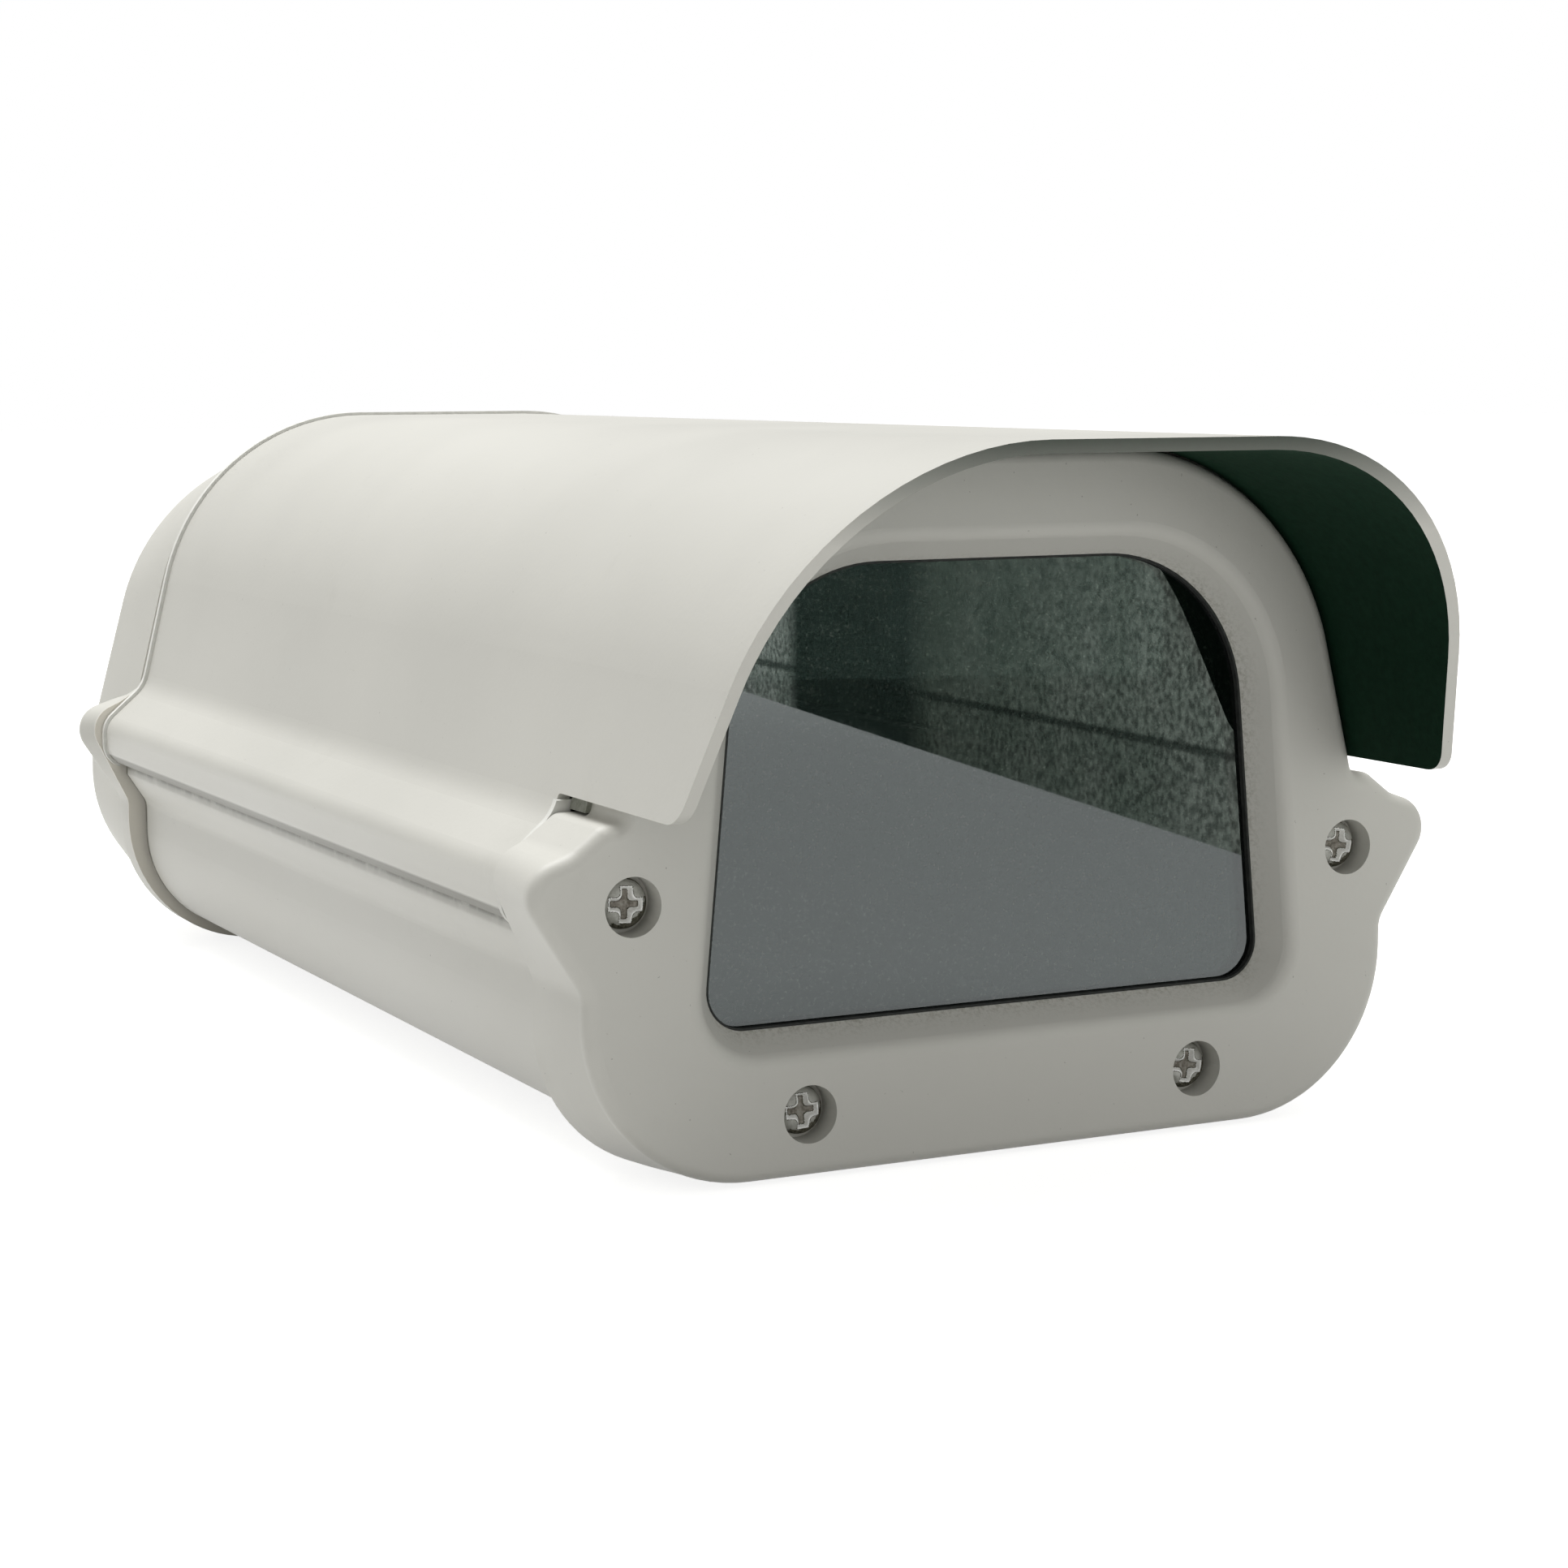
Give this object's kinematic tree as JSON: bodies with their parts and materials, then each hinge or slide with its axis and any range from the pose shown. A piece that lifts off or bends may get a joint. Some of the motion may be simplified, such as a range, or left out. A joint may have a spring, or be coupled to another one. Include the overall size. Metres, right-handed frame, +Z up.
{
  "type": "security camera housing",
  "caption": "Weatherproof outdoor camera housing with a hinged arched cover that runs on as a sun visor, a framed window and cable glands.",
  "frame": {"origin": "under the middle of the housing's length and width, at the level of the end caps' undersides", "axes": "+Y from the window towards the cable glands, +X to the right as seen from the window, +Z up"},
  "size_m": [0.1636, 0.3452, 0.1149],
  "materials": {
    "paint": "light warm grey powder coat, satin, on extruded and cast aluminium",
    "steel": "stainless steel screws, lightly dirty in their recesses",
    "rubber": "black sealing rubber",
    "seal": "pale grey sealing rubber at the ends of the cover",
    "zinc": "zinc plated sheet steel",
    "gland_plastic": "grey moulded polyamide",
    "frame_plastic": "black moulded plastic",
    "window": "flat float glass, dark because the inside is dark"
  },
  "bodies": {
    "body": {"tray": "paint", "front_cap": "paint", "rear_cap": "paint", "front_cap_screws": "steel", "rear_cap_screws": "steel", "plate_screws": "steel", "glass_frame_screws": "steel", "camera_screw": "steel", "camera_screw_nut": "steel", "bracket_plate_rivets": "steel", "window_gasket": "rubber", "arch_seal": "rubber", "tray_end_gaskets": "rubber", "length_seals": "rubber", "gland_seals": "rubber", "mounting_plate": "zinc", "bracket_plate": "zinc", "gland_bodies": "gland_plastic", "gland_nuts": "gland_plastic", "gland_lock_nuts": "gland_plastic", "window_glass": "window", "glass_frame": "frame_plastic"},
    "cover": {"cover": "paint", "cover_front_seals": "seal", "cover_rear_seal": "seal", "cover_screws": "steel"}
  },
  "joints": [
    {"name": "cover_hinge", "type": "hinge", "parent": "body", "child": "cover", "pos_m": [-0.0733, 0, 0.0445], "axis": [0, -1, 0], "range_deg": [0, 88]}
  ]
}
